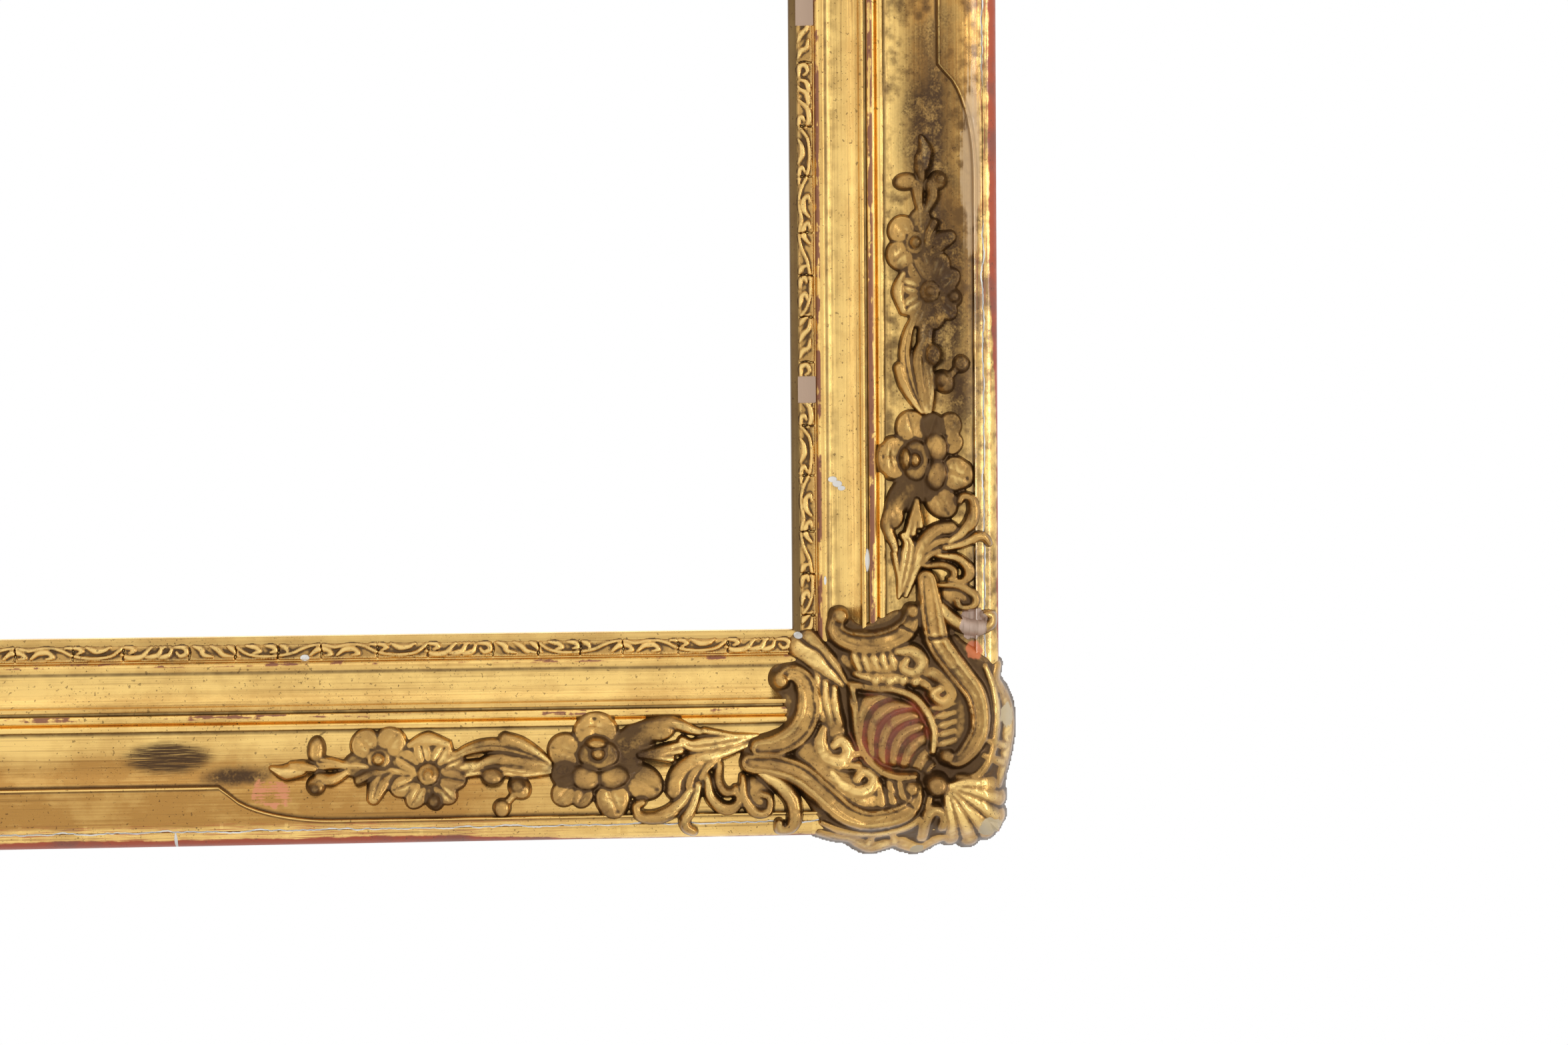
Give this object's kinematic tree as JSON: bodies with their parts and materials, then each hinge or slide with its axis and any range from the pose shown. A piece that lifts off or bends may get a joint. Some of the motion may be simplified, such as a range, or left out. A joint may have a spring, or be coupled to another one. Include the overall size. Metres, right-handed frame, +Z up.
{
  "type": "picture frame",
  "caption": "Gilded moulded picture frame with mitred rails, floral scroll corner castings, rear picture rebate, turn buttons and hanging rings.",
  "frame": {"origin": "centre of the sight opening on the back plane of the rails, where the frame lies against the wall", "axes": "+X right seen from the front, +Z up, +Y into the wall; the gilded front faces -Y"},
  "size_m": [1.225, 0.0709, 1.035],
  "materials": {
    "gilded_wood": "worn water gilding over bole and gesso",
    "gilded_composition": "gilded pressed composition with patina",
    "key_wood": "planed hardwood",
    "hanger_steel": "dull plated steel",
    "button_brass": "aged brass"
  },
  "bodies": {
    "frame": {"bouquet_bottom_near_left": "gilded_composition", "bouquet_bottom_near_right": "gilded_composition", "bouquet_left_near_bottom": "gilded_composition", "bouquet_left_near_top": "gilded_composition", "bouquet_right_near_bottom": "gilded_composition", "bouquet_right_near_top": "gilded_composition", "bouquet_top_near_left": "gilded_composition", "bouquet_top_near_right": "gilded_composition", "button_screws": "button_brass", "button_washers": "button_brass", "cartouche_bottom_left": "gilded_composition", "cartouche_bottom_right": "gilded_composition", "cartouche_top_left": "gilded_composition", "cartouche_top_right": "gilded_composition", "garland_bottom_near_left": "gilded_composition", "garland_bottom_near_right": "gilded_composition", "garland_left_near_bottom": "gilded_composition", "garland_left_near_top": "gilded_composition", "garland_right_near_bottom": "gilded_composition", "garland_right_near_top": "gilded_composition", "garland_top_near_left": "gilded_composition", "garland_top_near_right": "gilded_composition", "hanger_screws": "hanger_steel", "hanger_strap_left": "hanger_steel", "hanger_strap_right": "hanger_steel", "mitre_key_bottom_left": "key_wood", "mitre_key_bottom_right": "key_wood", "mitre_key_top_left": "key_wood", "mitre_key_top_right": "key_wood", "outer_strip_bottom": "gilded_wood", "outer_strip_left": "gilded_wood", "outer_strip_right": "gilded_wood", "outer_strip_top": "gilded_wood", "rail_bottom": "gilded_wood", "rail_left": "gilded_wood", "rail_right": "gilded_wood", "rail_top": "gilded_wood", "sight_strip_bottom": "gilded_composition", "sight_strip_left": "gilded_composition", "sight_strip_right": "gilded_composition", "sight_strip_top": "gilded_composition"},
    "hanging_ring_left": {"hanging_ring_left": "hanger_steel"},
    "hanging_ring_right": {"hanging_ring_right": "hanger_steel"},
    "turn_button_bottom_right": {"turn_button_bottom_right": "button_brass"},
    "turn_button_bottom_left": {"turn_button_bottom_left": "button_brass"},
    "turn_button_top_right": {"turn_button_top_right": "button_brass"},
    "turn_button_top_left": {"turn_button_top_left": "button_brass"},
    "turn_button_right_upper": {"turn_button_right_upper": "button_brass"},
    "turn_button_right_lower": {"turn_button_right_lower": "button_brass"},
    "turn_button_left_upper": {"turn_button_left_upper": "button_brass"},
    "turn_button_left_lower": {"turn_button_left_lower": "button_brass"}
  },
  "joints": [
    {"name": "ring_left_swing", "type": "hinge", "parent": "frame", "child": "hanging_ring_left", "pos_m": [-0.5425, 0.0032, 0.262], "axis": [0, 0, 1], "range_deg": [0, 175]},
    {"name": "ring_right_swing", "type": "hinge", "parent": "frame", "child": "hanging_ring_right", "pos_m": [0.5425, 0.0032, 0.262], "axis": [0, 0, -1], "range_deg": [0, 175]},
    {"name": "button_bottom_right_turn", "type": "hinge", "parent": "frame", "child": "turn_button_bottom_right", "pos_m": [0.27, 0.002, -0.419], "axis": [0, 1, 0], "continuous": true},
    {"name": "button_bottom_left_turn", "type": "hinge", "parent": "frame", "child": "turn_button_bottom_left", "pos_m": [-0.27, 0.002, -0.419], "axis": [0, 1, 0], "continuous": true},
    {"name": "button_top_right_turn", "type": "hinge", "parent": "frame", "child": "turn_button_top_right", "pos_m": [0.27, 0.002, 0.419], "axis": [0, 1, 0], "continuous": true},
    {"name": "button_top_left_turn", "type": "hinge", "parent": "frame", "child": "turn_button_top_left", "pos_m": [-0.27, 0.002, 0.419], "axis": [0, 1, 0], "continuous": true},
    {"name": "button_right_upper_turn", "type": "hinge", "parent": "frame", "child": "turn_button_right_upper", "pos_m": [0.514, 0.002, 0.14], "axis": [0, 1, 0], "continuous": true},
    {"name": "button_right_lower_turn", "type": "hinge", "parent": "frame", "child": "turn_button_right_lower", "pos_m": [0.514, 0.002, -0.14], "axis": [0, 1, 0], "continuous": true},
    {"name": "button_left_upper_turn", "type": "hinge", "parent": "frame", "child": "turn_button_left_upper", "pos_m": [-0.514, 0.002, 0.14], "axis": [0, 1, 0], "continuous": true},
    {"name": "button_left_lower_turn", "type": "hinge", "parent": "frame", "child": "turn_button_left_lower", "pos_m": [-0.514, 0.002, -0.14], "axis": [0, 1, 0], "continuous": true}
  ]
}
